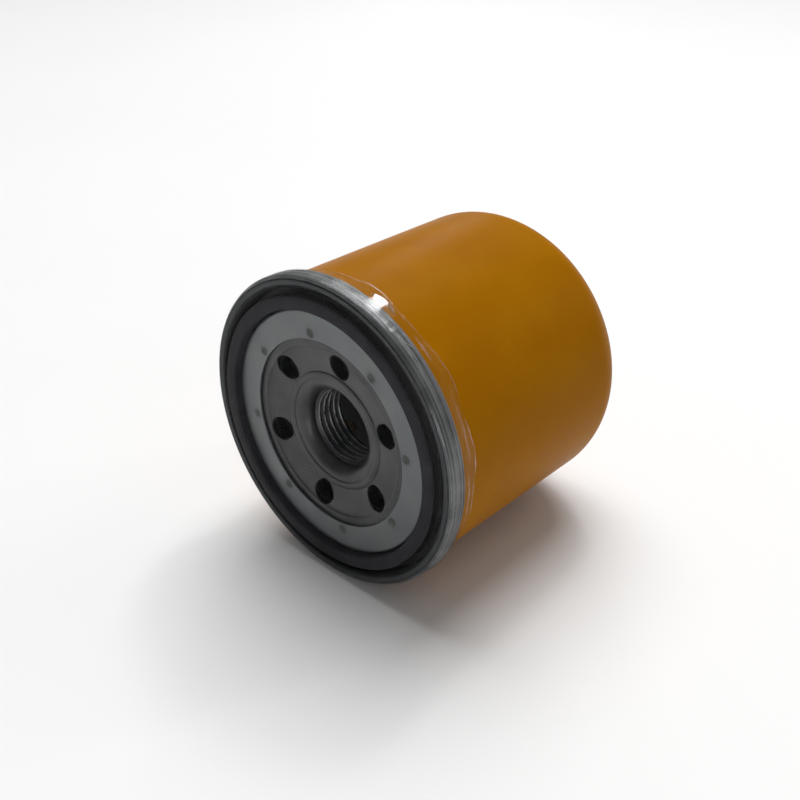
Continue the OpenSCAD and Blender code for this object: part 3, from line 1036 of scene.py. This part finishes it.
    def gasket(self) -> bpy.types.Object:
        """The square-cut gasket, with a faint moulding line round its outside.

        Returns:
            The piece, in place of its CAD node.
        """
        outer, front, back = ring_of("gasket")
        inner = outer - self.gasket_width
        e = self.gasket_edge
        middle = (front + back) / 2
        section = rounded([
            (outer, front, e), (inner, front, e), (inner, back, e), (outer, back, e),
            (outer, middle + 0.12, 0.0), (outer + 0.05, middle, 0.0), (outer, middle - 0.12, 0.0),
        ])
        bm = spun(section, self.steps)
        for vert in bm.verts:
            vert.co.y += noise.noise(vert.co * 90) * 0.02 * MM
        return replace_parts(piece("gasket", bm), "gasket")

    def build(self) -> None:
        """Builds and dresses the casing."""
        zinc = replace(
            ZINC, ring=self.weld_ring(), count=self.weld_count, phase=self.weld_phase, mark=self.weld_r * 1.15
        )
        for made, finish, slot in (
            (self.can(), Paint(), "can_paint"),
            (self.lid(), zinc, "zinc_sheet"),
            (self.plate(), PLATE_STEEL, "plate_steel"),
            (self.gasket(), GASKET_RUBBER, "gasket_rubber"),
        ):
            dress(made, finish.material())
            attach(made, Body.HOUSING.value)
        dress(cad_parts["seam_compound"], COMPOUND.material())


@dataclass
class Coil:
    """A spring of round wire with a closed turn at each end."""

    name: str
    wire: float
    first_r: float
    last_r: float
    turns: float
    dead: float = 0.8
    per_turn: int = 48

    def build(self) -> bpy.types.Object:
        """Sweeps the wire along its coil, inside the CAD spring's own length.

        Returns:
            The piece, in place of its CAD node.
        """
        _, front, back = ring_of(self.name)
        low, high = front + self.wire / 2, back - self.wire / 2
        count = round(self.turns * self.per_turn)
        curve = bpy.data.curves.new(self.name, "CURVE")
        curve.dimensions = "3D"
        curve.bevel_depth = self.wire / 2 * MM
        curve.bevel_resolution = 4
        curve.use_fill_caps = True
        spline = curve.splines.new("POLY")
        spline.points.add(count)
        for i, point in enumerate(spline.points):
            done = i / count * self.turns
            radius = self.first_r + (self.last_r - self.first_r) * i / count
            free = smoothstep(self.dead * 0.5, self.turns - self.dead * 0.5, done)
            steady = (done - self.dead) / (self.turns - 2 * self.dead)
            share = min(max(0.5 * free + 0.5 * steady, 0.0), 1.0)
            depth = low + share * (high - low)
            point.co = (*clock(radius, depth, -360 * done), 1)
        holder = bpy.data.objects.new(self.name, curve)
        mesh = bpy.data.meshes.new_from_object(holder)
        bpy.data.objects.remove(holder)
        bm = bmesh.new()
        bm.from_mesh(mesh)
        bmesh.ops.remove_doubles(bm, verts=bm.verts[:], dist=WELD)
        bmesh.ops.recalc_face_normals(bm, faces=bm.faces[:])
        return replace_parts(piece(self.name + "_wire", bm), self.name)


def bend(middle_r: float, radius: float, at: float, start: float, end: float) -> list[Vector]:
    """Points round one fold of the paper, in millimetres.

    Args:
        middle_r: Radius at which the fold's middle lies.
        radius: The fold's own radius.
        at: Angle of its middle round the axis, in radians.
        start: Angle of the first point round the fold, in degrees.
        end: Angle of the last point.

    Returns:
        The points, both ends included.
    """
    middle = Vector((middle_r * math.cos(at), 0, middle_r * math.sin(at)))
    turn = Matrix.Rotation(-at, 3, "Y")
    turns = [math.radians(start + (end - start) * i / 6) for i in range(7)]
    return [middle + turn @ (Vector((math.cos(a), 0, math.sin(a))) * radius) for a in turns]


@dataclass
class Element:
    """The filter element: paper, tube, end caps and adhesive, and the spring behind it."""

    pleats: int = 40
    paper: float = 0.42
    fold_out: float = 0.7
    fold_in: float = 0.72
    rows: int = 14
    sway: float = 0.22

    def media(self) -> bpy.types.Object:
        """The pleated paper: one fold, repeated round the axis and drawn out along it.

        Returns:
            The piece, in place of its CAD node.
        """
        outer, front, back = ring_of("pleated_media")
        tube_r = ring_of("centre_tube")[0]
        low, high = tube_r + 0.35 + self.paper, outer - 0.15 - self.paper / 2
        half = math.pi / self.pleats
        bm = bmesh.new()
        path = bend(low + self.fold_in, self.fold_in, -half, 180, 90)
        path += bend(high - self.fold_out, self.fold_out, 0.0, -90, 90)
        path += bend(low + self.fold_in, self.fold_in, half, 270, 180)
        verts = [bm.verts.new((p + Vector((0, front, 0))) * MM) for p in path]
        edges = [bm.edges.new(pair) for pair in zip(verts, verts[1:])]
        share = (self.pleats - 1) / self.pleats
        bmesh.ops.spin(
            bm, geom=verts + edges, cent=CENTRE, axis=AXIS,
            angle=math.tau * share, steps=self.pleats - 1, use_duplicate=True,
        )
        bmesh.ops.remove_doubles(bm, verts=bm.verts[:], dist=0.05 * MM)
        ring = bm.edges[:]
        for _ in range(self.rows):
            grown = bmesh.ops.extrude_edge_only(bm, edges=ring)["geom"]
            new = [v for v in grown if isinstance(v, bmesh.types.BMVert)]
            tip = set(new)
            ring = [e for e in grown if isinstance(e, bmesh.types.BMEdge) and tip.issuperset(e.verts)]
            bmesh.ops.translate(bm, verts=new, vec=(0, (back - front) / self.rows * MM, 0))
        for vert in bm.verts:
            radius, depth, angle = polar(vert.co)
            a = math.radians(angle)
            swing = noise.noise(Vector((math.cos(a) * 9, depth * 0.05, math.sin(a) * 9)))
            sway = Vector((-vert.co.z, 0, vert.co.x)).normalized() * swing * self.sway * MM
            vert.co += sway * smoothstep(low, high, radius)
        bmesh.ops.recalc_face_normals(bm, faces=bm.faces[:])
        made = piece("pleated_paper", bm, 60)
        wall = made.modifiers.new("paper", "SOLIDIFY")
        wall.thickness = self.paper * MM
        wall.offset = 0
        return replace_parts(made, "pleated_media")

    def build(self) -> None:
        """Builds the paper and the spring, and dresses the CAD's own pieces."""
        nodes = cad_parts
        paper = self.media()
        dress(paper, Paper().material())
        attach(paper, Body.HOUSING.value)
        tinned = TINNED.material()
        for name in ("lower_end_cap", "upper_end_cap"):
            dress(nodes[name], tinned)
        dress(nodes["centre_tube"], TUBE_STEEL.material())
        dress(nodes["media_clip"], CLIP_STEEL.material())
        glue = GLUE.material()
        for name in ("lower_adhesive", "upper_adhesive"):
            dress(nodes[name], glue)
        spring = Coil("element_spring", 2.2, 17.0, 11.0, 2.5).build()
        dress(spring, SPRING_WIRE.material())
        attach(spring, Body.HOUSING.value)


@dataclass
class Valves:
    """The bypass valve in the centre tube and the anti-drain skirt on the neck."""

    skirt: float = 1.1
    collar: float = 1.6
    lip: float = 0.8
    neck_r: float = 12.1
    rise: float = 1.1
    collar_height: float = 3.9
    bypass_travel: float = 3.0

    def drain_skirt(self) -> bpy.types.Object:
        """The rubber skirt, which bends where its lip lifts.

        Returns:
            The piece, in place of its CAD node.
        """
        outer, front, back = ring_of("anti_drain_valve")
        neck_r, collar_r = self.neck_r, self.neck_r + self.collar
        lip_r = outer - self.lip / 2
        bent = front + self.rise
        collar_front = back - self.collar_height
        section = rounded([
            (neck_r, collar_front, 0.2), (collar_r - 0.3, collar_front, 0.6),
            (lip_r - self.lip, bent, 0.5), (lip_r - self.lip / 2, front, 0.25),
            (lip_r, front, 0.25), (lip_r + self.lip / 2, bent, 0.4),
            (lip_r - self.lip / 2, bent + self.skirt, 0.5),
            (collar_r, collar_front + self.skirt * 1.2, 0.8),
            (collar_r, back, 0.3), (neck_r, back, 0.3),
        ], 4)
        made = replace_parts(piece("anti_drain_skirt", spun(section, 192)), "anti_drain_valve")
        start, end = (0, (collar_front + 1.6) * MM, 0), (0, (front + 0.6) * MM, 0)
        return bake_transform(made, Body.HOUSING.value, Body.DRAIN_LIP.value, start=start, end=end)

    def build(self) -> None:
        """Builds the valves and dresses the CAD's own pieces."""
        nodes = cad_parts
        rubber = VALVE_RUBBER.material()
        dress(self.drain_skirt(), rubber)
        tinned = TINNED.material()
        for name in ("bypass_seat", "bypass_cage"):
            dress(nodes[name], tinned)
        dress(nodes["bypass_poppet"], POPPET_PLASTIC.material())
        dress(nodes["bypass_seal"], rubber)
        spring = Coil("bypass_spring", 0.9, 4.6, 4.6, 4.5).build()
        dress(spring, SPRING_WIRE.material())
        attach(spring, Body.HOUSING.value)
        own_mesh(spring)


@dataclass(frozen=True)
class Blister:
    """A pocket of air that lifts the film off what is under it, steepest on its far side."""

    angle: float
    run: float
    around: float
    along: float
    lift: float
    fall: float = 1.0

    def height(self, angle: float, run: float, radius: float) -> float:
        """How far the film is lifted at one place.

        Args:
            angle: Clock angle in degrees.
            run: Distance along the film's section in millimetres.
            radius: Radius on which the pocket's width is measured.

        Returns:
            The lift in millimetres.
        """
        apart = abs(math.radians((angle - self.angle + 180) % 360 - 180) * radius) / self.around
        if apart >= 1.0:
            return 0.0
        width = math.sqrt(1.0 - apart * apart)
        past = (run - self.run) / (self.along * width)
        rise = smoothstep(-1.0, 0.0, past) if past < 0 else 1 - smoothstep(0.0, self.fall, past)
        return self.lift * width * rise


@dataclass
class Film:
    """The shrunk film over the open end."""

    wall: float = 0.06
    gap: float = 0.06
    steps: int = 480
    slope: float = 3.4
    fold_r: float = 1.475
    curl_r: float = 0.9
    face_rows: int = 12
    wave: float = 1.3
    blisters: list[Blister] = field(default_factory=lambda: [
        Blister(69, 43.3, 3.6, 2.6, 1.45, 0.5),
        Blister(64, 44.9, 3.4, 0.5, 0.22),
        Blister(50, 44.2, 3.2, 1.2, 0.45, 0.35),
        Blister(47, 45.3, 3.0, 0.4, 0.15),
        Blister(20, 45.2, 8.0, 0.6, 0.25, 0.5),
        Blister(-8, 44.2, 9.0, 1.0, 0.30, 0.5),
        Blister(-40, 44.0, 7.0, 1.4, 0.4),
        Blister(120, 44.0, 6.0, 1.4, 0.4),
        Blister(170, 44.4, 8.0, 1.6, 0.4),
        Blister(230, 44.2, 8.0, 1.5, 0.4),
        Blister(49, 39.9, 1.0, 0.7, 0.22),
        Blister(58, 39.2, 1.4, 0.6, 0.12),
        Blister(76, 39.4, 1.6, 0.5, 0.12),
    ])

    def section(self) -> Section:
        """The film's outside, from the middle of its face to the edge of its cuff.

        Returns:
            The section, which isn't closed.
        """
        rim_r, crest, back = ring_of("seaming_lid")
        gasket_r, face, _ = ring_of("gasket")
        off = self.gap + self.wall
        fold = (rim_r - self.fold_r, crest + self.fold_r)
        curl = (rim_r - self.curl_r, back - self.curl_r)
        end = ring_of("shrink_film")[2]
        knee = back + self.slope
        points = line((0.0, face - off), (gasket_r - 0.5, face - off), self.face_rows)
        points += line((gasket_r - 0.3, face - off + 0.01), (fold[0] - 0.6, crest - off + 0.05), 7)
        points += arc(fold, self.fold_r + off, -100, 0, 12)
        points += arc(curl, self.curl_r + off, 0, 40, 4)
        points += line(points[-1], (CAN_R + off + 0.15, knee), 11)[1:]
        points += line((CAN_R + off, knee + 0.3), (CAN_R + off, end), 8)
        return points

    def crumple(self, bm: bmesh.types.BMesh, rim: float, total: float) -> None:
        """Lifts the spun film into wrinkles and air pockets, and waves its hem.

        Args:
            bm: The film, to which a layer "pocket" with the pockets' height is added.
            rim: Distance along the section at which the flat face ends.
            total: The section's whole length.
        """
        run = bm.verts.layers.float["run"]
        pocket = bm.verts.layers.float.new("pocket")
        moves = []
        for vert in bm.verts:
            _, _, angle = polar(vert.co)
            along, a = vert[run], math.radians(angle)
            around = Vector((math.cos(a), math.sin(a), 0))
            coarse = noise.noise(around * 7 + Vector((0, 0, along * 0.12)))
            pleat = 1 - abs(noise.noise(around * 9 + Vector((0, 0, along * 0.16)))) * 2.2
            fine = 1 - abs(noise.noise(around * 42 + Vector((0, 0, along * 0.55)))) * 2.4
            face = 0.035 * coarse * smoothstep(3, 20, along) * (1 - smoothstep(rim - 2, rim + 1, along))
            on_rim = smoothstep(rim, rim + 2.0, along) * (1 - smoothstep(rim + 9, rim + 10.5, along))
            loose = smoothstep(rim + 8, rim + 11, along)
            lift = face + on_rim * (0.05 + 0.05 * max(fine, 0))
            lift += loose * (0.08 + 0.14 * max(pleat, 0) ** 2 + 0.06 * max(fine, 0) + 0.06 * coarse)
            vert[pocket] = sum(blister.height(angle, along, CAN_R) for blister in self.blisters)
            lift += vert[pocket]
            hem = smoothstep(total - 2.6, total, along) * noise.noise(around * 3 + Vector((0, 0, 5.0)))
            moves.append((vert, vert.normal * lift * MM + Vector((0, hem * self.wave * MM, 0))))
        for vert, move in moves:
            vert.co += move

    def build(self) -> None:
        """Spins, crumples and dresses the film."""
        section = self.section()
        total = length(section)
        bm = spun(section, self.steps, closed=False)
        self.crumple(bm, length(section[: self.face_rows + 1]), total)
        made = piece("shrink_film_skin", bm, 80)
        wall = made.modifiers.new("film", "SOLIDIFY")
        wall.thickness = self.wall * MM
        wall.offset = -1
        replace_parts(made, "shrink_film")
        dress(made, ClearFilm(hem=total).material())
        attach(made, Body.FILM.value)


# Studio


@dataclass
class Softbox:
    """One oval studio lamp."""

    name: str
    place: tuple[float, float, float]
    size: Point
    power: float

    def build(self, target: Vector) -> None:
        """Hangs the lamp.

        Args:
            target: The point that it faces.
        """
        lamp = bpy.data.lights.new(self.name, "AREA")
        lamp.shape = "ELLIPSE"
        lamp.size, lamp.size_y = self.size
        lamp.energy = self.power
        hung = bpy.data.objects.new(self.name, lamp)
        hung.location = self.place
        hung.rotation_euler = (target - hung.location).to_track_quat("-Z", "Y").to_euler()
        bpy.context.scene.collection.objects.link(hung)


@dataclass
class Studio:
    """Floor, lamps, sky and camera."""

    floor_r: float = 8.0
    rim_line: float = 0.9
    can_corner: float = 10.0
    aim: tuple[float, float, float] = (0.0, 0.035, 0.0)
    camera_place: tuple[float, float, float] = (0.1494, -0.1348, 0.1266)
    yaw: float = 42.87
    pitch: float = 30.21
    lens: float = 47.16
    sky: float = 0.16
    sun_power: float = 2.7
    sun_spread: float = 50.0
    sun_from: tuple[float, float, float] = (-0.28, 0.30, 1.0)
    lamps: list[Softbox] = field(default_factory=lambda: [
        Softbox("rim_lamp", (-0.08, 0.31, 0.50), (0.08, 0.08), 0.35),
        Softbox("side_strip", (0.33, 0.62, 0.47), (0.05, 0.75), 0.6),
        Softbox("low_strip", (-0.45, 0.55, 0.35), (0.06, 0.40), 0.25),
        Softbox("floor_wash", (0.30, -0.34, 0.02), (0.30, 0.10), 0.22),
    ])

    def floor(self) -> None:
        """Lays the pale floor so that it touches the rim and the closed end."""
        film_r = ring_of("shrink_film")[0]
        rim_depth = ring_of("seaming_lid")[2] - self.rim_line
        can_depth = ring_of("can")[2] - self.can_corner
        slope = math.atan2(film_r - CAN_R, can_depth - rim_depth)
        bm = bmesh.new()
        bmesh.ops.create_circle(bm, cap_ends=True, radius=self.floor_r, segments=64)
        made = piece("studio_floor", bm)
        touch = Matrix.Translation((0, rim_depth * MM, -film_r * MM))
        made.matrix_world = touch @ Matrix.Rotation(slope, 4, "X")
        graph = Graph("pale_floor")
        clouds = graph.noise(120, 3)
        base = graph.mix(clouds, grey(0.90), grey(0.87))
        made.data.materials.append(graph.surface(Base_Color=base, Roughness=0.85))

    def light(self) -> None:
        """Hangs the lamps, the broad soft light and the sky."""
        scene = bpy.context.scene
        for lamp in self.lamps:
            lamp.build(Vector(self.aim))
        sun = bpy.data.lights.new("bounced_light", "SUN")
        sun.energy = self.sun_power
        sun.angle = math.radians(self.sun_spread)
        hung = bpy.data.objects.new("bounced_light", sun)
        hung.rotation_euler = (-Vector(self.sun_from)).to_track_quat("-Z", "Y").to_euler()
        scene.collection.objects.link(hung)
        world = bpy.data.worlds.new("studio_sky")
        world.use_nodes = True
        world.node_tree.nodes["Background"].inputs["Color"].default_value = (1.0, 1.0, 1.0, 1)
        world.node_tree.nodes["Background"].inputs["Strength"].default_value = self.sky
        scene.world = world

    def point_camera(self) -> None:
        """Sets up the camera."""
        scene = bpy.context.scene
        camera = bpy.data.cameras.new("camera")
        camera.lens = self.lens
        camera.clip_start = 0.005
        holder = bpy.data.objects.new("camera", camera)
        holder.location = self.camera_place
        holder.rotation_euler = (math.radians(90 - self.pitch), 0, math.radians(self.yaw))
        scene.collection.objects.link(holder)
        scene.camera = holder

    def build(self) -> None:
        """Sets up the whole studio."""
        bpy.context.scene.view_settings.view_transform = "Standard"
        self.floor()
        self.light()
        self.point_camera()


def corners(box: object) -> list[list[float]]:
    """A box as two plain lists of numbers."""
    return [[float(x) for x in corner] for corner in box]


def main() -> None:
    """Builds the filter and its studio."""
    logging.basicConfig(level=logging.INFO, format="%(relativeCreated)d %(message)s")
    Casing().build()
    Element().build()
    Valves().build()
    Film().build()
    Studio().build()


if __name__ == "__main__":
    main()
